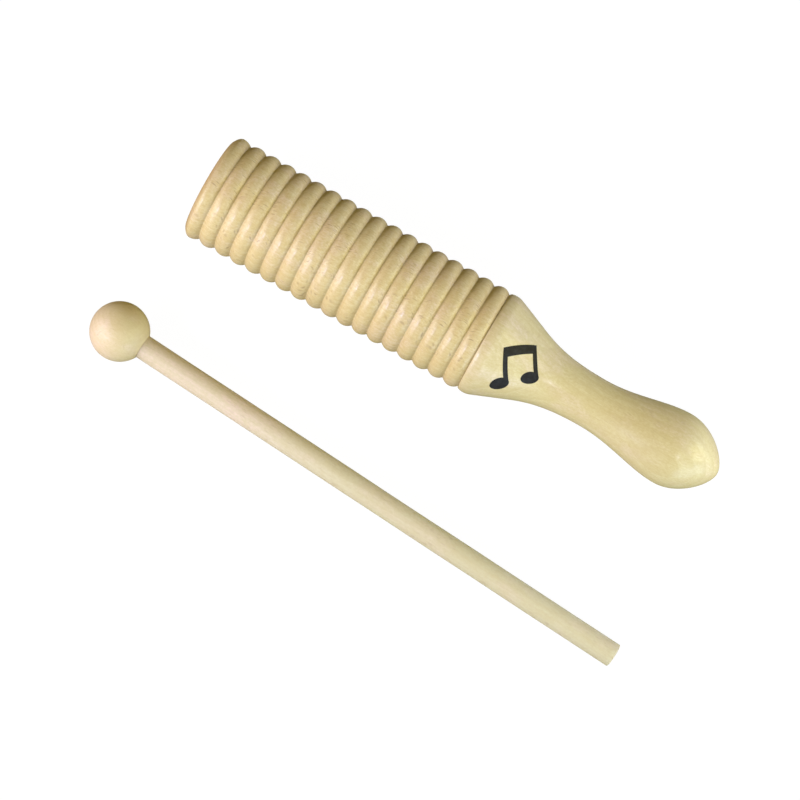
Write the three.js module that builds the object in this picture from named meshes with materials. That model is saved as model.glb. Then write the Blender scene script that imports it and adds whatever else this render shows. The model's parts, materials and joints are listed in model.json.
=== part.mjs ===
// A hand guiro and its beater, turned from pale hardwood.
//
// The guiro is a ribbed tube, open at one end, with a turned handle glued into the other end. It lies on
// its ribs along +X with the handle at the +X end. The loose beater, a dowel with a wooden ball on its
// end, lies beside it at -Y, resting on the ball and on its sawn butt. Millimetres, +Z up, and the origin
// is under the middle of the pair, on the surface they lie on.

import * as THREE from 'three';

// ---------------------------------------------------------------- driving dimensions

const GLUE_GAP = 0.3; // clearance left between two glued faces

const BARREL_SIDES = 36; // facets around the guiro
const BEATER_SIDES = 24; // facets around the beater

// Ribbed barrel: a row of rounded beads with a sharp groove between neighbours. The bead at the open end
// is rounded off more, from its crest to the end face.
const RIB_COUNT = 18;
const RIB_PITCH = 7;
const CREST_RADIUS = 22.5;
const GROOVE_DEPTH = 1.6;
const RIM_ROUND_DROP = 2.5;
const BORE_RADIUS = 16.5;
const BORE_CHAMFER = 0.6;

// Handle: a tenon inside the barrel, a rounded shoulder, a straight cone, a slim neck and a bulb.
// Lengths are measured from the joint groove.
const TENON_LENGTH = 15;
const TENON_CHAMFER = 1;
const SHOULDER_RADIUS = 22;
const SHOULDER_LENGTH = 2.4;
const SHOULDER_PULL = 1.4; // a pull is how far a curve keeps its direction before it bends away
const CONE_SLOPE = 0.41; // radius lost for each millimetre along the cone
const CONE_START = 6;
const CONE_END = { at: 20, radius: 15.6, pull: 9 };
const NECK = { at: 50, radius: 10.5, pullBefore: 13, pullAfter: 14 };
const BULB = { at: 86.5, radius: 15.65, pull: 11 };
const HANDLE_LENGTH = 107;
const TIP_PULL = 5.3; // how blunt the tip is

// Beater.
const BEATER_LENGTH = 250;
const BALL_RADIUS = 12.25;
const SHAFT_RADIUS = 5;
const SHAFT_CHAMFER = 0.4;
const HOLE_DEPTH = 15; // blind hole in the ball, from the ball's mouth side

// Where the beater lies: its ball's centre from the guiro's open end and axis, and its turn away from
// the guiro's axis.
const BALL_PLACE = { x: -3.1, y: -68.7 };
const BEATER_YAW = THREE.MathUtils.degToRad(-3.45);

// How finely the curves are divided.
const BEAD_STEPS = 4;
const ROUND_STEPS = 3;
const NECK_STEPS = 6;
const BULB_STEPS = 8;
const BALL_BACK_STEPS = 6;
const BALL_FRONT_STEPS = 4;

// ---------------------------------------------------------------- materials

const WOOD = {
  barrel: new THREE.MeshStandardMaterial({ color: 0xdcc592, roughness: 0.45, metalness: 0 }),
  handle: new THREE.MeshStandardMaterial({ color: 0xe2d4a2, roughness: 0.4, metalness: 0 }),
  shaft: new THREE.MeshStandardMaterial({ color: 0xd9cba6, roughness: 0.5, metalness: 0 }),
  ball: new THREE.MeshStandardMaterial({ color: 0xe3d0aa, roughness: 0.4, metalness: 0 }),
};

// ---------------------------------------------------------------- helpers

// A point of a turned outline: how far along the axis, and the radius there.
function at(along, radius) {
  return new THREE.Vector2(radius, along);
}

// Turns an outline about +X. A flat facet, not an edge, faces straight down.
function turned(name, outline, sides, material) {
  const geometry = new THREE.LatheGeometry(outline, sides, Math.PI / sides);
  geometry.rotateZ(-Math.PI / 2);
  const mesh = new THREE.Mesh(geometry, material);
  mesh.name = name;
  return mesh;
}

// The radius from the axis to the middle of a facet.
function facetRadius(radius, sides) {
  return radius * Math.cos(Math.PI / sides);
}

// Points of an elliptical quarter round that leaves a flat end face and meets the side.
function quarterRound(start, length, outerRadius, drop) {
  const points = [];
  for (let i = 0; i <= ROUND_STEPS; i += 1) {
    const angle = (i / ROUND_STEPS) * (Math.PI / 2);
    const along = start + length * (1 - Math.cos(angle));
    points.push(at(along, outerRadius - drop + drop * Math.sin(angle)));
  }
  return points;
}

// A smooth outline from one point to another, given how far each end holds its direction.
function sweep(start, startPull, endPull, end, steps) {
  const curve = new THREE.CubicBezierCurve(start, startPull, endPull, end);
  return curve.getPoints(steps).slice(1);
}

// ---------------------------------------------------------------- ribbed barrel

const BARREL_LENGTH = RIB_COUNT * RIB_PITCH;
const GROOVE_RADIUS = CREST_RADIUS - GROOVE_DEPTH;

// Radius of a bead at a distance from its crest: an arc through the crest and both grooves.
function beadRadius(fromCrest) {
  const half = RIB_PITCH / 2;
  const arc = (half * half + GROOVE_DEPTH * GROOVE_DEPTH) / (2 * GROOVE_DEPTH);
  return CREST_RADIUS - arc + Math.sqrt(arc * arc - fromCrest * fromCrest);
}

// Bead points after a step of it, up to the groove that ends it.
function beadPoints(rib, afterStep) {
  const points = [];
  for (let i = afterStep + 1; i <= BEAD_STEPS; i += 1) {
    const share = i / BEAD_STEPS;
    points.push(at((rib + share) * RIB_PITCH, beadRadius((share - 0.5) * RIB_PITCH)));
  }
  return points;
}

function ribbedBarrel() {
  const mouth = at(0, BORE_RADIUS + BORE_CHAMFER);
  const outline = [mouth, ...quarterRound(0, RIB_PITCH / 2, CREST_RADIUS, RIM_ROUND_DROP)];
  outline.push(...beadPoints(0, BEAD_STEPS / 2));
  for (let rib = 1; rib < RIB_COUNT; rib += 1) {
    outline.push(...beadPoints(rib, 0));
  }
  outline.push(at(BARREL_LENGTH, BORE_RADIUS));
  outline.push(at(BORE_CHAMFER, BORE_RADIUS));
  outline.push(mouth.clone());
  return turned('ribbed_barrel', outline, BARREL_SIDES, WOOD.barrel);
}

// ---------------------------------------------------------------- handle

function handle() {
  const tenonRadius = BORE_RADIUS - GLUE_GAP;
  const coneRadius = (along) => CONE_END.radius + CONE_SLOPE * (CONE_END.at - along);
  const coneStart = at(CONE_START, coneRadius(CONE_START));
  const coneEnd = at(CONE_END.at, CONE_END.radius);
  const neck = at(NECK.at, NECK.radius);
  const bulb = at(BULB.at, BULB.radius);
  const tip = at(HANDLE_LENGTH, 0);

  const outline = [
    at(-TENON_LENGTH, 0),
    at(-TENON_LENGTH, tenonRadius - TENON_CHAMFER),
    at(TENON_CHAMFER - TENON_LENGTH, tenonRadius),
    at(GLUE_GAP, tenonRadius),
    ...quarterRound(GLUE_GAP, SHOULDER_LENGTH, SHOULDER_RADIUS, SHOULDER_RADIUS - GROOVE_RADIUS),
  ];
  const shoulder = outline[outline.length - 1];
  const afterShoulder = at(shoulder.y + SHOULDER_PULL, SHOULDER_RADIUS);
  const beforeCone = at(CONE_START - SHOULDER_PULL, coneRadius(CONE_START - SHOULDER_PULL));
  const afterCone = at(CONE_END.at + CONE_END.pull, coneRadius(CONE_END.at + CONE_END.pull));
  const beforeNeck = at(NECK.at - NECK.pullBefore, NECK.radius);
  const afterNeck = at(NECK.at + NECK.pullAfter, NECK.radius);
  const beforeBulb = at(BULB.at - BULB.pull, BULB.radius);
  const afterBulb = at(BULB.at + BULB.pull, BULB.radius);
  const beforeTip = at(HANDLE_LENGTH, TIP_PULL);
  outline.push(...sweep(shoulder, afterShoulder, beforeCone, coneStart, ROUND_STEPS));
  outline.push(coneEnd);
  outline.push(...sweep(coneEnd, afterCone, beforeNeck, neck, NECK_STEPS));
  outline.push(...sweep(neck, afterNeck, beforeBulb, bulb, NECK_STEPS));
  outline.push(...sweep(bulb, afterBulb, beforeTip, tip, BULB_STEPS));

  const mesh = turned('handle', outline, BARREL_SIDES, WOOD.handle);
  mesh.position.x = BARREL_LENGTH;
  return mesh;
}

// ---------------------------------------------------------------- beater

const BUTT_AT = BEATER_LENGTH - BALL_RADIUS; // the sawn end, from the ball's centre
const HOLE_RADIUS = SHAFT_RADIUS + GLUE_GAP;
const HOLE_BOTTOM_AT = BALL_RADIUS - HOLE_DEPTH;

// Points of the ball's outline between two angles from the butt's direction, without the first one.
function ballArc(from, to, steps) {
  const points = [];
  for (let i = 1; i <= steps; i += 1) {
    const angle = THREE.MathUtils.lerp(from, to, i / steps);
    points.push(at(BALL_RADIUS * Math.cos(angle), BALL_RADIUS * Math.sin(angle)));
  }
  return points;
}

function beaterBall() {
  const widest = Math.PI / 2;
  const mouthAngle = Math.asin(HOLE_RADIUS / BALL_RADIUS);
  const outline = [
    at(-BALL_RADIUS, 0),
    ...ballArc(Math.PI, widest, BALL_BACK_STEPS),
    ...ballArc(widest, mouthAngle, BALL_FRONT_STEPS),
    at(HOLE_BOTTOM_AT, HOLE_RADIUS),
    at(HOLE_BOTTOM_AT, 0),
  ];
  return turned('beater_ball', outline, BEATER_SIDES, WOOD.ball);
}

function beaterShaft() {
  const innerEnd = HOLE_BOTTOM_AT + GLUE_GAP;
  const outline = [
    at(innerEnd, 0),
    at(innerEnd, SHAFT_RADIUS - SHAFT_CHAMFER),
    at(innerEnd + SHAFT_CHAMFER, SHAFT_RADIUS),
    at(BUTT_AT - SHAFT_CHAMFER, SHAFT_RADIUS),
    at(BUTT_AT, SHAFT_RADIUS - SHAFT_CHAMFER),
    at(BUTT_AT, 0),
  ];
  return turned('beater_shaft', outline, BEATER_SIDES, WOOD.shaft);
}

// The beater lies on its ball's widest ring and on the edge of its butt, so it dips towards the butt.
function beater() {
  const ballHeight = facetRadius(BALL_RADIUS, BEATER_SIDES);
  const shaftHeight = facetRadius(SHAFT_RADIUS, BEATER_SIDES);
  const dip = Math.atan((ballHeight - shaftHeight) / (BUTT_AT - SHAFT_CHAMFER));
  const group = new THREE.Group();
  group.add(beaterShaft(), beaterBall());
  group.rotation.set(0, dip, BEATER_YAW, 'ZYX');
  group.position.set(BALL_PLACE.x, BALL_PLACE.y, ballHeight * Math.cos(dip));
  return group;
}

// ---------------------------------------------------------------- assembly

function guiro() {
  const group = new THREE.Group();
  group.add(ribbedBarrel(), handle());
  group.position.z = facetRadius(CREST_RADIUS, BARREL_SIDES);
  return group;
}

const model = new THREE.Group();
model.add(guiro(), beater());

const box = new THREE.Box3().setFromObject(model, true);
const middle = box.getCenter(new THREE.Vector3());
model.position.set(-middle.x, -middle.y, -box.min.z);

export default model;
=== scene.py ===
"""A turned wooden guiro and its ball-headed beater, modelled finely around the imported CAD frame.

Each turned piece is made in its own turning frame, with X along its axis and along the grain. Its object
is then placed where the frame says, so the wood materials read object coordinates and run with the grain.
Outlines are in millimetres, as (distance along the axis, radius).
"""

import json
import math
import random

import bpy
from mathutils import Matrix, Vector, noise
from mathutils.geometry import delaunay_2d_cdt


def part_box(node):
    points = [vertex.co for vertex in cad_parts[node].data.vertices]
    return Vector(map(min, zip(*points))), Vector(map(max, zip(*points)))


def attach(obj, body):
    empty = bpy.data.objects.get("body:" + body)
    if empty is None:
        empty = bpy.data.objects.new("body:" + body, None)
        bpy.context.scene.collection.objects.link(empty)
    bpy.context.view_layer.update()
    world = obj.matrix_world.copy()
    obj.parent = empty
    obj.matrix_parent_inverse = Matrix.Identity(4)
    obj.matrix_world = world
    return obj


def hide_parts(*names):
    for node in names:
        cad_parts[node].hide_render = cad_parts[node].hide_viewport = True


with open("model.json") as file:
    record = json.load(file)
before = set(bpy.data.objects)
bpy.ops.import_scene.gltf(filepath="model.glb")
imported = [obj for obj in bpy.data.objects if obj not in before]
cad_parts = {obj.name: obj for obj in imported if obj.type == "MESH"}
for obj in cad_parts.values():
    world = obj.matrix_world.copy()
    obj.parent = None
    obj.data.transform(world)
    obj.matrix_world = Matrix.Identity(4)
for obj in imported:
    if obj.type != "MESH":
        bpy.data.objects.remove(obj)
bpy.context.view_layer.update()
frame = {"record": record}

MM = 0.001

# ---------------------------------------------------------------- sizes, in millimetres

RIB_COUNT = 18
RIB_PITCH = 7.0
CREST_RADIUS = 22.5
CREST_SPREAD = 0.1  # how much lower a crest may be
GROOVE_RADIUS = 20.75
GROOVE_SPREAD = 0.08  # how much a groove's radius varies, either way
GROOVE_SHIFT = 0.09  # how far a groove may be out of step, either way
GROOVE_EASE = 0.26  # how far the round bottom of a groove stands above the sharp corner of its two arcs
RIM_LENGTH, RIM_DROP = 3.1, 2.7  # the round of the open end's outer edge, along the axis and in radius
RIM_PULL = (0.2, 0.6)  # its first control point, as shares of its length and its drop
BORE_RADIUS = 16.5
BORE_CHAMFER = 0.6
BORE_END_EASE = 0.2  # how far the bore's hidden end flares
BARREL_LENGTH = RIB_COUNT * RIB_PITCH

# A pull is how far a curve keeps its direction before it bends away.
TENON_LENGTH = 15.0
TENON_CHAMFER = 1.0
TENON_PLAY = 0.1  # how much less the tenon's radius is than the bore's
JOINT_LINE = 0.08  # the hairline that stays open between barrel and shoulder
SHOULDER_RADIUS = 22.0
SHOULDER_LENGTH = 2.4
SHOULDER_PULL = 1.4
CONE_SLOPE = 0.41
CONE_START = 6.0
CONE_END = 20.0
CONE_END_RADIUS = 15.6
CONE_END_PULL = 9.0
NECK_AT, NECK_RADIUS = 50.0, 10.5
NECK_PULL_BEFORE, NECK_PULL_AFTER = 13.0, 14.0
BULB_AT, BULB_RADIUS = 86.5, 15.65
BULB_PULL = 11.0
HANDLE_LENGTH = 107.0
TIP_PULL = 5.3

BEATER_LENGTH = 250.0
BALL_RADIUS = 12.25
SHAFT_RADIUS = 5.0
SHAFT_CHAMFER = 0.5
BUTT_ROUND = (0.35, 0.25)  # the chamfer's middle, in from the end and the side, as shares of its size
HOLE_DEPTH = 15.0
HOLE_PLAY = 0.05  # how much more the hole's radius is than the dowel's
HOLE_EASE = 0.35  # the softened edge of the ball's hole
HOLE_EASE_DEPTH = 0.6  # its depth, as a share of its width
HIDDEN_END_GAP = 0.3  # from the bottom of the hole to the dowel's end
HIDDEN_CHAMFER = 0.4

# How finely the turned shapes are divided: around the axis, then along each stretch of an outline.
BARREL_SIDES = 256
HANDLE_SIDES = 224
BALL_SIDES = 128
SHAFT_SIDES = 72
RIM_STEPS = 10
HALF_BEAD_STEPS = 8
BEAD_STEPS = 14
BORE_STEPS = 48
SHOULDER_STEPS = 10
CONE_STEPS = 14
NECK_STEPS = 26
BULB_STEPS = 30
TIP_STEPS = 40
BALL_STEPS = 56
SHAFT_STEPS = 120
BUTT_STEPS = 6

GUIRO_SANDING, BEATER_SANDING = 0.09, 0.06  # how far hand sanding leaves a surface off the true round
SANDING_WAVES = (0.035, 0.07, 0.07)  # waves per millimetre, along and across the axis
GUIRO_SEED, BEATER_SEED = 3.0, 11.0  # where in the noise each body's unevenness is taken
RIB_SEED = 7
SHARP_ANGLE = math.radians(38)  # faces that meet at more than this keep a crisp edge

# ---------------------------------------------------------------- outlines


def bezier(start, pull_out, pull_in, end, steps):
    """The points of a cubic curve after its first one."""
    points = []
    for i in range(1, steps + 1):
        t = i / steps
        weights = ((1 - t) ** 3, 3 * t * (1 - t) ** 2, 3 * t * t * (1 - t), t**3)
        corners = (start, pull_out, pull_in, end)
        points.append(tuple(sum(w * c[k] for w, c in zip(weights, corners)) for k in (0, 1)))
    return points


def quarter_round(start, length, outer, drop, steps):
    """An elliptical quarter round from a flat end face at start up to the outer radius."""
    points = []
    for i in range(steps + 1):
        angle = i / steps * math.pi / 2
        points.append((start + length * (1 - math.cos(angle)), outer - drop + drop * math.sin(angle)))
    return points


def part_way(start, end, share):
    """The point that lies a share of the way from start to end."""
    return tuple(a + (b - a) * share for a, b in zip(start, end))


def straight(start, end, steps):
    """The points of a straight line after its first one."""
    return [part_way(start, end, i / steps) for i in range(1, steps + 1)]


def bead(left, right, crest, first_share, steps):
    """One rib between two grooves, each (along, radius): an arc over the crest, eased into the grooves.

    It starts at first_share of its width, 0 or 0.5, and its points lie closer together near a groove.
    """
    points = []
    for i in range(1, steps + 1):
        turn = math.pi * (first_share + (1 - first_share) * i / steps)
        across = -math.cos(turn)
        share = (1 + across) / 2
        groove = left[1] + (right[1] - left[1]) * share
        half = (right[0] - left[0]) / 2
        depth = crest - groove
        arc = (half * half + depth * depth) / (2 * depth)
        height = depth - arc + math.sqrt(arc * arc - (across * half) ** 2)
        eased = math.hypot(height, GROOVE_EASE * math.sqrt(1 - (height / depth) ** 2))
        points.append((left[0] + share * (right[0] - left[0]), groove + eased))
    return points


def barrel_outline():
    """The ribbed tube, round its wall once: rim, ribs, inner end, bore."""
    rng = random.Random(RIB_SEED)
    grooves = [(0, GROOVE_RADIUS)]
    for k in range(1, RIB_COUNT + 1):
        shift = 0 if k == RIB_COUNT else rng.uniform(-GROOVE_SHIFT, GROOVE_SHIFT)
        radius = GROOVE_RADIUS + rng.uniform(-GROOVE_SPREAD, GROOVE_SPREAD)
        grooves.append((k * RIB_PITCH + shift, radius))

    points = [(0, BORE_RADIUS + BORE_CHAMFER), (0, CREST_RADIUS - RIM_DROP)]
    pull_out = (RIM_LENGTH * RIM_PULL[0], CREST_RADIUS - RIM_DROP * RIM_PULL[1])
    pull_in = (RIM_LENGTH / 2, CREST_RADIUS)
    points += bezier(points[-1], pull_out, pull_in, (RIM_LENGTH, CREST_RADIUS), RIM_STEPS)

    # From its crest on, the first rib is half a bead, whose other groove would lie as far before the crest.
    before = (2 * RIM_LENGTH - grooves[1][0], grooves[1][1])
    points += bead(before, grooves[1], CREST_RADIUS, 0.5, HALF_BEAD_STEPS)
    for left, right in zip(grooves[1:], grooves[2:]):
        points += bead(left, right, CREST_RADIUS - rng.uniform(0, CREST_SPREAD), 0, BEAD_STEPS)

    points.append((BARREL_LENGTH, BORE_RADIUS + BORE_END_EASE))
    points += straight((BARREL_LENGTH, BORE_RADIUS), (BORE_CHAMFER, BORE_RADIUS), BORE_STEPS)
    return points


def tenon_outline():
    """The tenon, from the middle of its end to the joint line."""
    radius = BORE_RADIUS - TENON_PLAY
    return [
        (-TENON_LENGTH, 0),
        (-TENON_LENGTH, radius - TENON_CHAMFER),
        (TENON_CHAMFER - TENON_LENGTH, radius),
        (JOINT_LINE, radius),
    ]


def cone(along):
    """The point of the handle's straight cone at a distance from the joint groove."""
    return along, CONE_END_RADIUS + CONE_SLOPE * (CONE_END - along)


def grip_outline():
    """Shoulder, cone, neck and bulb, from the joint groove to the tip."""
    drop = SHOULDER_RADIUS - (GROOVE_RADIUS + GROOVE_EASE)
    points = quarter_round(JOINT_LINE, SHOULDER_LENGTH, SHOULDER_RADIUS, drop, SHOULDER_STEPS)
    shoulder = points[-1]
    neck, bulb, tip = (NECK_AT, NECK_RADIUS), (BULB_AT, BULB_RADIUS), (HANDLE_LENGTH, 0)
    points += bezier(
        shoulder,
        (shoulder[0] + SHOULDER_PULL, SHOULDER_RADIUS),
        cone(CONE_START - SHOULDER_PULL),
        cone(CONE_START),
        SHOULDER_STEPS,
    )
    points += straight(cone(CONE_START), cone(CONE_END), CONE_STEPS)
    points += bezier(
        cone(CONE_END),
        cone(CONE_END + CONE_END_PULL),
        (NECK_AT - NECK_PULL_BEFORE, NECK_RADIUS),
        neck,
        NECK_STEPS,
    )
    points += bezier(
        neck,
        (NECK_AT + NECK_PULL_AFTER, NECK_RADIUS),
        (BULB_AT - BULB_PULL, BULB_RADIUS),
        bulb,
        BULB_STEPS,
    )
    points += bezier(bulb, (BULB_AT + BULB_PULL, BULB_RADIUS), (HANDLE_LENGTH, TIP_PULL), tip, TIP_STEPS)
    return points


def ball_outline():
    """The drilled ball, from its far pole to the bottom of its hole."""
    mouth = SHAFT_RADIUS + HOLE_PLAY
    mouth_angle = math.asin((mouth + HOLE_EASE) / BALL_RADIUS)
    points = []
    for i in range(BALL_STEPS + 1):
        angle = math.pi + (mouth_angle - math.pi) * i / BALL_STEPS
        radius = 0 if i == 0 else BALL_RADIUS * math.sin(angle)
        points.append((BALL_RADIUS * math.cos(angle), radius))
    bottom = BALL_RADIUS - HOLE_DEPTH
    points.append((points[-1][0] - HOLE_EASE * HOLE_EASE_DEPTH, mouth))
    points += [(bottom, mouth), (bottom, 0)]
    return points


def shaft_outline():
    """The dowel, from its end in the ball to its sawn butt."""
    start, end = BALL_RADIUS - HOLE_DEPTH + HIDDEN_END_GAP, BEATER_LENGTH - BALL_RADIUS
    points = [
        (start, 0),
        (start, SHAFT_RADIUS - HIDDEN_CHAMFER),
        (start + HIDDEN_CHAMFER, SHAFT_RADIUS),
    ]
    points += straight(points[-1], (end - SHAFT_CHAMFER, SHAFT_RADIUS), SHAFT_STEPS)
    points += [
        (end - SHAFT_CHAMFER * BUTT_ROUND[0], SHAFT_RADIUS - SHAFT_CHAMFER * BUTT_ROUND[1]),
        (end, SHAFT_RADIUS - SHAFT_CHAMFER),
    ]
    points += straight(points[-1], (end, 0), BUTT_STEPS)
    return points


# ---------------------------------------------------------------- meshes


def add_object(name, data):
    """A new object in the scene."""
    thing = bpy.data.objects.new(name, data)
    bpy.context.scene.collection.objects.link(thing)
    return thing


def piece(name, vertices, faces, place):
    """A smooth mesh object from points in millimetres."""
    mesh = bpy.data.meshes.new(name)
    mesh.from_pydata([v * MM for v in vertices], [], faces)
    mesh.validate()
    mesh.shade_smooth()
    mesh.set_sharp_from_angle(angle=SHARP_ANGLE)
    thing = add_object(name, mesh)
    thing.matrix_world = place
    return thing


def turned_point(along, radius, angle, sanding, seed):
    """A point of a turned surface, in millimetres, a little off the true round."""
    y, z = math.cos(angle), math.sin(angle)
    waves = Vector([a * b for a, b in zip((along, radius * y, radius * z), SANDING_WAVES)])
    radius += sanding * noise.noise(waves + Vector((seed, 0, 0)))
    return Vector((along, radius * y, radius * z))


def turned(name, outline, sides, closed, sanding, seed, place):
    """A mesh piece turned about local X.

    A closed outline runs round a wall. An open one starts and ends on the axis.
    """
    vertices, rings = [], []
    for along, radius in outline:
        if radius == 0:
            rings.append([len(vertices)] * sides)
            vertices.append(Vector((along, 0, 0)))
            continue
        rings.append(list(range(len(vertices), len(vertices) + sides)))
        for i in range(sides):
            vertices.append(turned_point(along, radius, i / sides * math.tau, sanding, seed))
    pairs = list(zip(rings, rings[1:]))
    if closed:
        pairs.append((rings[-1], rings[0]))
    faces = []
    for low, high in pairs:
        for i in range(sides):
            j = (i + 1) % sides
            corners = (low[i], low[j], high[j], high[i])
            faces.append(tuple(dict.fromkeys(corners)))
    return piece(name, vertices, faces, place)


# ---------------------------------------------------------------- places, from the frame


def guiro_place():
    """The guiro's turning frame: on its axis at the open end, X towards the handle."""
    low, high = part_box("ribbed_barrel")
    return Matrix.Translation((low.x, (low.y + high.y) / 2, (low.z + high.z) / 2))


def beater_place():
    """The beater's turning frame: at the ball's centre, X towards the butt."""
    butt = next(m for m in frame["record"]["mounts"] if m["name"] == "beater_butt")
    along = Vector(butt["axis"]).normalized()
    centre = Vector(butt["pos_m"]) - along * (BEATER_LENGTH - BALL_RADIUS) * MM
    side = Vector((0, 0, 1)).cross(along).normalized()
    turn = Matrix((along, side, along.cross(side))).transposed()
    return Matrix.Translation(centre) @ turn.to_4x4()


# ---------------------------------------------------------------- node helpers


class Nodes:
    """Short ways to add and join shader nodes."""

    def __init__(self, tree):
        self.tree = tree

    def add(self, kind, **settings):
        node = self.tree.nodes.new(kind)
        for key, value in settings.items():
            setattr(node, key, value)
        return node

    def put(self, socket, value):
        if isinstance(value, bpy.types.NodeSocket):
            self.tree.links.new(value, socket)
        else:
            socket.default_value = value

    def math(self, operation, a, b=0.0, clamp=False):
        node = self.add("ShaderNodeMath", operation=operation, use_clamp=clamp)
        self.put(node.inputs[0], a)
        self.put(node.inputs[1], b)
        return node.outputs[0]

    def vector(self, operation, a, b=(0.0, 0.0, 0.0)):
        node = self.add("ShaderNodeVectorMath", operation=operation)
        self.put(node.inputs[0], a)
        self.put(node.inputs[1], b)
        return node.outputs[0]

    def join(self, x, y, z):
        node = self.add("ShaderNodeCombineXYZ")
        for socket, value in zip(node.inputs, (x, y, z)):
            self.put(socket, value)
        return node.outputs[0]

    def split(self, vector):
        node = self.add("ShaderNodeSeparateXYZ")
        self.put(node.inputs[0], vector)
        return node.outputs

    def noise(self, vector, scale=1.0, detail=2.0, rough=0.5):
        node = self.add("ShaderNodeTexNoise", noise_dimensions="3D")
        self.put(node.inputs["Vector"], vector)
        self.put(node.inputs["Scale"], scale)
        self.put(node.inputs["Detail"], detail)
        self.put(node.inputs["Roughness"], rough)
        return node.outputs["Fac"]

    def grain(self, place, along, across, detail=2.0, rough=0.5):
        """Noise drawn out along X: its waves per millimetre along X and across it."""
        stretched = self.vector("MULTIPLY", place, (along, across, across))
        return self.noise(stretched, detail=detail, rough=rough)

    def cells(self, vector):
        node = self.add("ShaderNodeTexVoronoi", feature="F1")
        self.put(node.inputs["Vector"], vector)
        self.put(node.inputs["Scale"], 1.0)
        return node.outputs["Distance"], node.outputs["Color"]

    def remap(self, value, low, high, to_low=0.0, to_high=1.0):
        """A smooth step from to_low to to_high while the value goes from low to high."""
        node = self.add("ShaderNodeMapRange", interpolation_type="SMOOTHSTEP")
        for socket, number in zip(node.inputs, (value, low, high, to_low, to_high)):
            self.put(socket, number)
        return node.outputs[0]

    def mix(self, share, a, b):
        node = self.add("ShaderNodeMix", data_type="RGBA")
        self.put(node.inputs["Factor"], share)
        self.put(node.inputs["A"], a)
        self.put(node.inputs["B"], b)
        return node.outputs["Result"]

    def millimetres(self):
        """The place on the object, in millimetres in its own frame."""
        coords = self.add("ShaderNodeTexCoord")
        return self.vector("MULTIPLY", coords.outputs["Object"], (1 / MM,) * 3)


def new_material(name):
    """A node material, the helper for its nodes, and its shader."""
    material = bpy.data.materials.new(name)
    material.use_nodes = True
    return material, Nodes(material.node_tree), material.node_tree.nodes["Principled BSDF"]


def srgb(red, green, blue):
    """A linear colour from 0-255 display values."""
    def linear(value):
        value /= 255
        return value / 12.92 if value <= 0.04045 else ((value + 0.055) / 1.055) ** 2.4
    return linear(red), linear(green), linear(blue), 1.0


# ---------------------------------------------------------------- wood

SEED_STEP = 37.0  # how far apart the pieces' patterns lie along the grain, in mm
PITH_WANDER = 9.0  # how far the growth rings wander, in mm
RAY_SIZE = (4.2, 0.62, 3.2)  # a ray's dash along the grain, around the pith and away from it, in mm
PORE_SIZE = (0.9, 0.17, 0.17)  # in mm, along and across the grain
BUMP_STRENGTH, BUMP_HEIGHT = 0.4, 0.06 * MM
SPECULAR = 0.3
# The pinkish tone: partly a painted highlight tint on the lit side, partly random clouds in the wood.
PINK_TONE_AND_HIGHLIGHT = srgb(239, 216, 207)


def growth_rings(n, place, offset, pith, lean, ring_width):
    """Rings round a leaning, slightly wandering pith.

    Gives the late wood from 0 to 1, the distance from the pith and the way round it, both in mm.
    """
    x, y, z = n.split(place)
    from_pith = []
    for position, start, slope in zip((y, z), pith, lean):
        from_start = n.math("SUBTRACT", position, start - slope * offset)
        from_pith.append(n.math("SUBTRACT", from_start, n.math("MULTIPLY", x, slope)))
    squares = [n.math("MULTIPLY", part, part) for part in from_pith]
    wander = n.math("SUBTRACT", n.grain(place, 0.011, 0.035, detail=3.0), 0.5)
    true_distance = n.math("SQRT", n.math("ADD", *squares))
    distance = n.math("ADD", true_distance, n.math("MULTIPLY", wander, PITH_WANDER))
    around = n.math("MULTIPLY", n.math("ARCTAN2", *from_pith), math.hypot(*pith))
    ring = n.math("FRACT", n.math("DIVIDE", distance, ring_width))
    late = n.math("MULTIPLY", n.remap(ring, 0.25, 0.93), n.remap(ring, 1.0, 0.95))
    strength = n.remap(n.grain(place, 0.006, 0.02), 0.3, 0.7, 0.45, 1.0)
    return n.math("MULTIPLY", late, strength), distance, around


def ray_dashes(n, place, around, distance):
    """Short dashes, in clusters, where the ribbons that run out from the pith cross the surface."""
    along = n.split(place)[0]
    sides = [n.math("DIVIDE", way, size) for way, size in zip((along, around, distance), RAY_SIZE)]
    near, tint = n.cells(n.join(*sides))
    kept = n.remap(n.split(tint)[0], 0.35, 0.5)
    cluster = n.remap(n.grain(place, 0.07, 0.12), 0.46, 0.62, 0.12, 1.0)
    return n.math("MULTIPLY", n.math("MULTIPLY", n.remap(near, 0.45, 0.12), kept), cluster)


def end_grain(n, place):
    """How much of the thirsty end grain a face shows, from 0 to 1, a little blotched."""
    normal = n.add("ShaderNodeTexCoord").outputs["Normal"]
    facing = n.math("ABSOLUTE", n.split(normal)[0])
    blotch = n.grain(place, 0.09, 0.09, detail=3.0, rough=0.6)
    return n.math("MULTIPLY", n.remap(facing, 0.45, 1.0), n.remap(blotch, 0.25, 0.7, 0.6, 1.0))


def pink_tone_and_highlight(n, place, offset, painted_highlight_ramp):
    """How far the wood turns pinkish, from 0 to 1: a painted highlight tint along a ramp, plus random pink
    clouds of the wood's own tone.
    """
    start, full, shift = painted_highlight_ramp
    x, y, _ = n.split(place)
    # Painted highlight tint: a ramp along X, leaning with Y, towards where the light falls. The cloud is
    # random pink tone.
    at = n.math("ADD", n.math("SUBTRACT", x, offset), n.math("MULTIPLY", y, shift))
    cloud = n.remap(n.grain(place, 0.05, 0.11), 0.45, 0.65, 0.0, 0.35)
    return n.math("ADD", n.remap(at, start, full, 0.0, 0.85), cloud, clamp=True)


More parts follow.
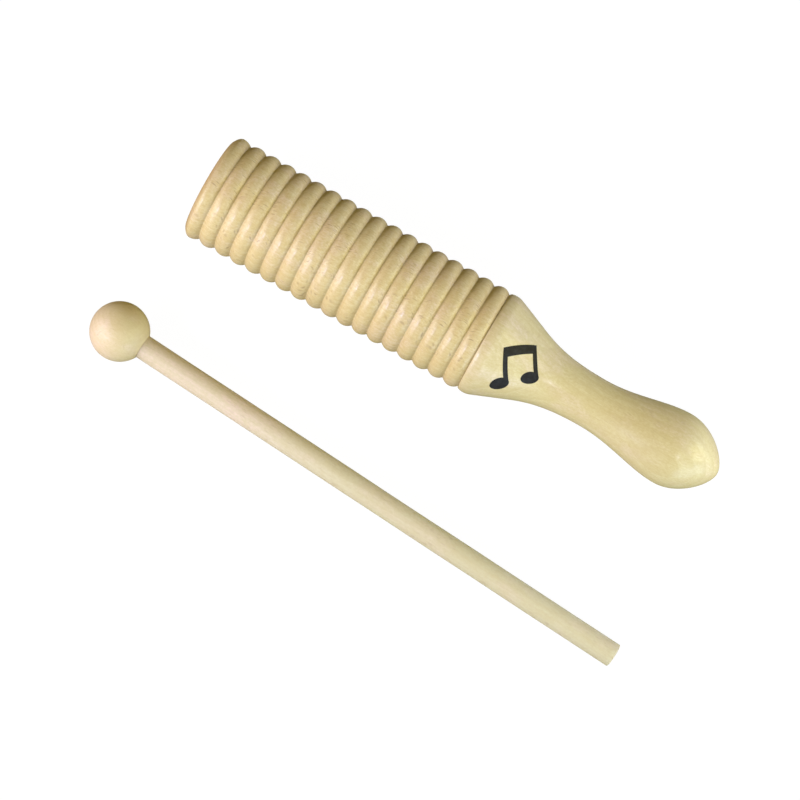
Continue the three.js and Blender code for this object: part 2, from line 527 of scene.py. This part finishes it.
def wood(name, pale, ring_colour, fleck_colour, end_colour, pith, lean, ring_width, ring_share,
         flecks, end_share, rough, coat, coat_rough, seed, painted_highlight_ramp):
    """Lacquered diffuse-porous wood whose grain runs along local X.

    pith is where the tree's centre passes the piece (y, z in mm) and lean how it drifts along X.
    The last argument gives the stretch of X, in mm, over which a painted pinkish highlight tint comes in,
    and its shift along X per mm of Y.
    """
    material, n, shader = new_material(name)
    offset = seed * SEED_STEP
    place = n.vector("ADD", n.millimetres(), (offset, 0.0, 0.0))

    late, distance, around = growth_rings(n, place, offset, pith, lean, ring_width)
    dash = n.math("MULTIPLY", ray_dashes(n, place, around, distance), flecks)
    end = end_grain(n, place)

    # Fibres: long thin streaks along the grain.
    fibre = n.grain(place, 0.05, 1.7, detail=4.0, rough=0.6)
    fine = n.grain(place, 0.22, 6.5, rough=0.6)

    # Mottle: cloudy spots a few millimetres across, and finer ones inside them.
    cloud = n.grain(place, 0.22, 0.34, detail=3.0, rough=0.65)
    grit = n.grain(place, 0.8, 1.5, rough=0.6)
    mottle = n.math("ADD", n.remap(cloud, 0.3, 0.7, 0.0, 0.34), n.remap(grit, 0.3, 0.7, 0.0, 0.46))

    # Pores: much finer dashes.
    pore_near, _ = n.cells(n.vector("DIVIDE", place, PORE_SIZE))
    pore = n.math("MULTIPLY", n.remap(pore_near, 0.42, 0.1), 0.10 + 0.12 * flecks)

    broad = n.grain(place, 0.012, 0.05, detail=3.0)
    end_marks = n.math("ADD", n.math("MULTIPLY", late, 0.4), n.remap(fine, 0.4, 0.7, 0.0, 0.3))

    # Painted pinkish highlight tint towards the lit side, plus random pinkish clouds.
    colour = n.mix(pink_tone_and_highlight(n, place, offset, painted_highlight_ramp), pale, PINK_TONE_AND_HIGHLIGHT)
    colour = n.mix(n.math("MULTIPLY", late, ring_share), colour, ring_colour)
    colour = n.mix(n.remap(fibre, 0.3, 0.75, 0.0, 0.3), colour, ring_colour)
    colour = n.mix(n.remap(broad, 0.3, 0.7, 0.0, 0.28), colour, ring_colour)
    colour = n.mix(mottle, colour, ring_colour)
    colour = n.mix(dash, colour, fleck_colour)
    colour = n.mix(pore, colour, fleck_colour)
    colour = n.mix(n.math("MULTIPLY", end, end_share), colour, end_colour)
    colour = n.mix(n.math("MULTIPLY", n.math("MULTIPLY", end, end_marks), end_share), colour, fleck_colour)
    n.put(shader.inputs["Base Color"], colour)
    n.put(shader.inputs["Roughness"], n.remap(fibre, 0.25, 0.75, rough - 0.05, rough + 0.07))

    height = n.math("ADD", n.math("MULTIPLY", fine, 0.2), n.math("MULTIPLY", fibre, 0.3))
    height = n.math("ADD", height, n.math("MULTIPLY", grit, 0.5))
    height = n.math("SUBTRACT", height, n.math("MULTIPLY", dash, 0.3))
    bump = n.add("ShaderNodeBump")
    bump.inputs["Strength"].default_value = BUMP_STRENGTH
    bump.inputs["Distance"].default_value = BUMP_HEIGHT
    n.put(bump.inputs["Height"], height)
    n.put(shader.inputs["Normal"], bump.outputs["Normal"])
    n.put(shader.inputs["Coat Normal"], bump.outputs["Normal"])
    shader.inputs["Specular IOR Level"].default_value = SPECULAR
    shader.inputs["Coat Weight"].default_value = coat
    shader.inputs["Coat Roughness"].default_value = coat_rough
    return material


def barrel_wood():
    """Warm tan wood, the most flecked of the four."""
    return wood(
        "barrel wood",
        pale=srgb(228, 215, 167),
        ring_colour=srgb(204, 182, 122),
        fleck_colour=srgb(140, 106, 70),
        end_colour=srgb(176, 137, 88),
        pith=(28.0, 62.0), lean=(0.02, -0.03), ring_width=2.6, ring_share=0.3, flecks=0.5,
        # Its painted highlight ramp lies wholly before the barrel, so only the random pink clouds show.
        end_share=0.55, rough=0.5, coat=0.42, coat_rough=0.2, seed=1, painted_highlight_ramp=(-60.0, -90.0, 0.0),
    )


def handle_wood():
    """Paler, yellower wood with hardly a fleck, under a glossier varnish, with a painted pinkish highlight
    tint towards the joint.
    """
    return wood(
        "handle wood",
        pale=srgb(228, 220, 170),
        ring_colour=srgb(206, 191, 134),
        fleck_colour=srgb(158, 131, 95),
        end_colour=srgb(194, 168, 113),
        pith=(-40.0, 70.0), lean=(-0.03, 0.02), ring_width=3.0, ring_share=0.38, flecks=0.14,
        end_share=0.25, rough=0.5, coat=0.55, coat_rough=0.2, seed=2, painted_highlight_ramp=(146.0, 96.0, 0.0),
    )


def shaft_wood():
    """Whitish dowel wood with close rings, with a painted pinkish highlight tint towards the ball."""
    return wood(
        "shaft wood",
        pale=srgb(217, 214, 179),
        ring_colour=srgb(204, 194, 151),
        fleck_colour=srgb(166, 143, 113),
        end_colour=srgb(198, 178, 146),
        pith=(30.0, 45.0), lean=(0.01, 0.01), ring_width=1.7, ring_share=0.35, flecks=0.25,
        end_share=0.6, rough=0.55, coat=0.3, coat_rough=0.4, seed=3, painted_highlight_ramp=(130.0, 10.0, 0.0),
    )


def ball_wood():
    """Pale wood with a painted pinkish highlight tint towards the side away from the dowel, leaning to one
    side.
    """
    return wood(
        "ball wood",
        pale=srgb(220, 209, 160),
        ring_colour=srgb(208, 192, 142),
        fleck_colour=srgb(160, 133, 99),
        end_colour=srgb(206, 184, 146),
        pith=(22.0, 38.0), lean=(0.05, 0.02), ring_width=2.2, ring_share=0.2, flecks=0.25,
        end_share=0.3, rough=0.5, coat=0.4, coat_rough=0.42, seed=4, painted_highlight_ramp=(6.0, -17.0, 0.7),
    )


def ink():
    """Screen-printed charcoal ink, worn a little thin in places."""
    material, n, shader = new_material("print ink")
    place = n.millimetres()
    cloud = n.noise(place, scale=0.5, detail=4.0, rough=0.65)
    speck = n.noise(place, scale=5.0, rough=0.6)
    colour = n.mix(n.remap(cloud, 0.35, 0.7), srgb(22, 22, 22), srgb(38, 40, 42))
    colour = n.mix(n.remap(speck, 0.66, 0.78, 0.0, 0.25), colour, srgb(110, 104, 84))
    n.put(shader.inputs["Base Color"], colour)
    n.put(shader.inputs["Roughness"], n.remap(speck, 0.3, 0.7, 0.5, 0.6))
    shader.inputs["Specular IOR Level"].default_value = SPECULAR
    return material


# ---------------------------------------------------------------- the print, in millimetres

PRINT_AT = 17.0  # its middle, from the joint groove
PRINT_TURN = math.radians(29.85)  # how far its reading direction is turned from the guiro's axis
PRINT_SIDE = -3.3  # how far round from the top its middle is, with the beater's side negative
PRINT_LIFT = 0.04  # how far its skin stands out of the wood, and how deep it goes in
PRINT_GRID = 0.6  # the spacing of its mesh points
PRINT_REACH = 14  # half the side of the square that its mesh points are laid out in
MERGE_DISTANCE = 1e-4  # points closer than this are one

NOTE_HEADS = ((-7.6, -7.2), (4.2, -5.4))  # their middles
HEAD_WIDTH, HEAD_HEIGHT = 3.8, 2.8  # half axes
HEAD_TILT = math.radians(22)
HEAD_CORNERS = 40
STEM_SIDE = 3.6  # from the middle of a head to the right side of its stem
STEM_WIDTH, STEM_HEIGHT = 1.8, 14.2
STEM_FOOT = (0.4, 0.8)  # how high its left and right sides start in the head
BEAM_DEPTH = (3.6, 3.4)  # at its left and right ends
BEAM_RISE = 0.2  # of its right end above the stem


def ellipse(centre, half_width, half_height, tilt, count):
    """The corners of a tilted ellipse."""
    points = []
    for i in range(count):
        a = i / count * math.tau
        u, v = half_width * math.cos(a), half_height * math.sin(a)
        x = centre[0] + u * math.cos(tilt) - v * math.sin(tilt)
        y = centre[1] + u * math.sin(tilt) + v * math.cos(tilt)
        points.append((x, y))
    return points


def inside(point, polygon):
    """Whether a point is inside a polygon, by counting crossings."""
    hit = False
    for (x0, y0), (x1, y1) in zip(polygon, polygon[1:] + polygon[:1]):
        if (y0 > point[1]) != (y1 > point[1]) and point[0] < (x1 - x0) * (point[1] - y0) / (y1 - y0) + x0:
            hit = not hit
    return hit


def divided(corners):
    """A polygon with its sides cut into short steps, so that it can follow a curved surface."""
    points = []
    for a, b in zip(corners, corners[1:] + corners[:1]):
        steps = max(1, math.ceil(math.dist(a, b) / PRINT_GRID))
        points += [part_way(a, b, i / steps) for i in range(steps)]
    return points


def note_shapes():
    """Two plain beamed notes as overlapping polygons. They read along +u, and +v is their up."""
    shapes, tops = [], []
    for u, v in NOTE_HEADS:
        shapes.append(ellipse((u, v), HEAD_WIDTH, HEAD_HEIGHT, HEAD_TILT, HEAD_CORNERS))
        right = u + STEM_SIDE
        left = right - STEM_WIDTH
        top = v + STEM_HEIGHT
        stem = [(left, v + STEM_FOOT[0]), (right, v + STEM_FOOT[1]), (right, top), (left, top)]
        shapes.append(divided(stem))
        tops.append((right, top))
    (u0, v0), (u1, v1) = tops
    left = u0 - STEM_WIDTH
    beam = [(left, v0 - BEAM_DEPTH[0]), (u1, v1 - BEAM_DEPTH[1]), (u1, v1 + BEAM_RISE), (left, v0)]
    shapes.append(divided(beam))
    return shapes


def print_triangles(shapes):
    """The area that the shapes cover together, as flat points and triangles."""
    points, outlines = [], []
    for shape in shapes:
        outlines.append(list(range(len(points), len(points) + len(shape))))
        points += shape
    steps = int(2 * PRINT_REACH / PRINT_GRID)
    for i in range(steps):
        for j in range(steps):
            point = (-PRINT_REACH + i * PRINT_GRID, -PRINT_REACH + j * PRINT_GRID)
            if any(inside(point, shape) for shape in shapes):
                points.append(point)
    corners = [Vector(p) for p in points]
    flat, _, triangles, *_ = delaunay_2d_cdt(corners, [], outlines, 0, MERGE_DISTANCE)

    def covered(triangle):
        middle = sum((flat[i] for i in triangle), Vector((0, 0))) / 3
        return any(inside(middle, shape) for shape in shapes)

    kept = [t for t in triangles if covered(t)]
    used = sorted({i for t in kept for i in t})
    index = {old: new for new, old in enumerate(used)}
    return [flat[old] for old in used], [tuple(index[i] for i in t) for t in kept]


def radius_from(outline):
    """The outline's radius at a distance along it, for distances that it passes once."""
    def radius_at(along):
        for (x0, r0), (x1, r1) in zip(outline, outline[1:]):
            if x0 <= along <= x1 and x1 > x0:
                return r0 + (r1 - r0) * (along - x0) / (x1 - x0)
        raise ValueError(along)
    return radius_at


def printed_mark(place, radius_at):
    """The print as one thin closed skin that follows the cone."""
    flat, triangles = print_triangles(note_shapes())
    turn = Matrix.Rotation(PRINT_TURN, 2)
    middle_radius = radius_at(PRINT_AT)
    vertices = []
    for lift in (PRINT_LIFT, -PRINT_LIFT):
        for point in flat:
            u, v = turn @ point
            along = PRINT_AT + u
            angle = math.pi / 2 - (PRINT_SIDE + v) / middle_radius
            radius = radius_at(along)
            base = turned_point(BARREL_LENGTH + along, radius, angle, GUIRO_SANDING, GUIRO_SEED)
            out = Vector((0, math.cos(angle), math.sin(angle)))
            vertices.append(base + out * lift)

    under = len(flat)
    edges = [edge for t in triangles for edge in zip(t, t[1:] + t[:1])]
    known = set(edges)
    rims = [(a, b) for a, b in edges if (b, a) not in known]
    skin = list(triangles)
    skin += [tuple(i + under for i in reversed(t)) for t in triangles]
    skin += [(b, a, a + under, b + under) for a, b in rims]
    return piece("printed_mark", vertices, skin, place)


# ---------------------------------------------------------------- pieces

guiro_at = guiro_place()
beater_at = beater_place()
grip = grip_outline()
handle_outline = [(BARREL_LENGTH + along, radius) for along, radius in tenon_outline() + grip]

barrel = turned("barrel_wood", barrel_outline(), BARREL_SIDES, True, GUIRO_SANDING, GUIRO_SEED, guiro_at)
handle = turned("handle_wood", handle_outline, HANDLE_SIDES, False, GUIRO_SANDING, GUIRO_SEED, guiro_at)
mark = printed_mark(guiro_at, radius_from(grip))
ball = turned("ball_wood", ball_outline(), BALL_SIDES, False, BEATER_SANDING, BEATER_SEED, beater_at)
shaft = turned("shaft_wood", shaft_outline(), SHAFT_SIDES, False, BEATER_SANDING, BEATER_SEED, beater_at)

for thing, material in (
    (barrel, barrel_wood()),
    (handle, handle_wood()),
    (shaft, shaft_wood()),
    (ball, ball_wood()),
    (mark, ink()),
):
    thing.data.materials.append(material)

for thing, body, node, slot in (
    (barrel, "guiro", "ribbed_barrel", "barrel_wood"),
    (handle, "guiro", "handle", "handle_wood"),
    (ball, "beater", "beater_ball", "ball_wood"),
    (shaft, "beater", "beater_shaft", "shaft_wood"),
):
    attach(thing, body)
    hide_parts(node)
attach(mark, "guiro")

# ---------------------------------------------------------------- camera, floor and light

CAMERA_AZIMUTH = math.radians(29.8)
CAMERA_ELEVATION = math.radians(86.5)
CAMERA_DISTANCE = 1.25
CAMERA_LENS = 141.1
CAMERA_CLIP = (0.1, 20.0)
LIGHT_DISTANCE = 0.9
AIM = Vector((-0.00074, -0.00442, 0.0224))  # what camera and lights face, from under the pair's middle

FLOOR_HALF = 12.0
FLOOR_SEEN = (0.9, 0.9, 0.9, 1)  # the paper as the camera sees it
FLOOR_BOUNCE = (0.18, 0.15, 0.05, 1)  # the paper as it throws light back on the pair
FLOOR_GLOW = 1.03
FLOOR_GLOW_SHARE = 0.95  # how much of the floor that the camera sees is plain white
AMBIENT_COLOUR, AMBIENT_STRENGTH = (1.0, 0.74, 0.03, 1), 0.2
WHITE = (1, 1, 1, 1)

right_way = Vector((math.cos(CAMERA_AZIMUTH), math.sin(CAMERA_AZIMUTH), 0))
away_way = Vector((-math.sin(CAMERA_AZIMUTH), math.cos(CAMERA_AZIMUTH), 0))


def seen_direction(right, away, height):
    """A direction given as the camera sees it: to its right, away from it along the floor, and up."""
    return (right_way * right + away_way * away + Vector((0, 0, height))).normalized()


def face_pair(thing, direction, distance):
    """Put a camera or a light in a direction from the pair, and turn it to face the pair."""
    thing.location = AIM + direction * distance
    thing.rotation_euler = (-direction).to_track_quat("-Z", "Y").to_euler()


def add_camera():
    """A camera almost straight above the pair, turned so that the guiro slopes down to the right."""
    data = bpy.data.cameras.new("camera")
    data.lens = CAMERA_LENS
    data.clip_start, data.clip_end = CAMERA_CLIP
    camera = add_object("camera", data)
    back = seen_direction(0, -math.cos(CAMERA_ELEVATION), math.sin(CAMERA_ELEVATION))
    face_pair(camera, back, CAMERA_DISTANCE)
    bpy.context.scene.camera = camera


def softbox(name, direction, size, power, colour, shine=True):
    """An area light that faces the pair. Without shine it leaves no highlight."""
    data = bpy.data.lights.new(name, "AREA")
    data.shape = "RECTANGLE"
    data.size, data.size_y = size
    data.energy = power
    data.color = colour
    light = add_object(name, data)
    light.visible_glossy = shine
    face_pair(light, direction, LIGHT_DISTANCE)


def camera_blend(n, share, others, seen, output):
    """Join two shaders to an output: one seen by the camera, by a share, and one for all other light."""
    ray = n.add("ShaderNodeLightPath").outputs["Is Camera Ray"]
    blend = n.add("ShaderNodeMixShader")
    n.put(blend.inputs[0], n.math("MULTIPLY", ray, share))
    n.put(blend.inputs[1], others)
    n.put(blend.inputs[2], seen)
    n.put(output.inputs["Surface"], blend.outputs[0])
    return ray


def lowest_point(things):
    """The height of the lowest vertex of some pieces."""
    return min((thing.matrix_world @ v.co).z for thing in things for v in thing.data.vertices)


def add_floor(height):
    """A plain pale floor.

    Seen directly it is part lit paper and part plain white, which thins its shadows.
    """
    mesh = bpy.data.meshes.new("floor")
    corners = [(-1, -1), (1, -1), (1, 1), (-1, 1)]
    mesh.from_pydata([(x * FLOOR_HALF, y * FLOOR_HALF, height) for x, y in corners], [], [(0, 1, 2, 3)])
    material, n, _ = new_material("floor paper")
    paper = n.add("ShaderNodeBsdfDiffuse")
    glow = n.add("ShaderNodeEmission")
    glow.inputs["Strength"].default_value = FLOOR_GLOW
    output = material.node_tree.nodes["Material Output"]
    ray = camera_blend(n, FLOOR_GLOW_SHARE, paper.outputs[0], glow.outputs[0], output)
    n.put(paper.inputs["Color"], n.mix(ray, FLOOR_BOUNCE, FLOOR_SEEN))
    mesh.materials.append(material)
    add_object("floor", mesh)


def add_world():
    """Warm light from all round; the camera sees it as plain white."""
    world = bpy.data.worlds.new("studio")
    world.use_nodes = True
    n = Nodes(world.node_tree)
    light = world.node_tree.nodes["Background"]
    light.inputs["Color"].default_value = AMBIENT_COLOUR
    light.inputs["Strength"].default_value = AMBIENT_STRENGTH
    seen = n.add("ShaderNodeBackground")
    seen.inputs["Color"].default_value = WHITE
    camera_blend(n, 1.0, light.outputs[0], seen.outputs[0], world.node_tree.nodes["World Output"])
    bpy.context.scene.world = world


def add_lights():
    """Key and broad fill from the left, fills from the right and low in front, a touch from above."""
    softbox("key", seen_direction(-0.66, -0.28, 0.69), (0.15, 0.15), 1.8, (1.0, 1.1, 1.7))
    softbox("left", seen_direction(-0.90, -0.08, 0.42), (0.8, 0.5), 8.3, (1.0, 0.93, 1.03))
    softbox("right", seen_direction(0.89, -0.12, 0.42), (0.5, 0.5), 3.3, (1.0, 0.9, 0.3))
    softbox("low right", seen_direction(0.99, 0.0, 0.14), (1.0, 0.5), 5.8, (1.0, 1.2, 2.2), shine=False)
    softbox("low front", seen_direction(0.5, -0.86, 0.14), (0.9, 0.5), 3.6, (1.0, 1.25, 1.6))
    softbox("front", seen_direction(0.27, -0.45, 0.85), (0.08, 0.08), 0.6, (1.0, 0.97, 1.1))


add_camera()
add_floor(lowest_point((barrel, handle, ball, shaft)))
add_world()
add_lights()
bpy.context.scene.view_settings.view_transform = "Standard"
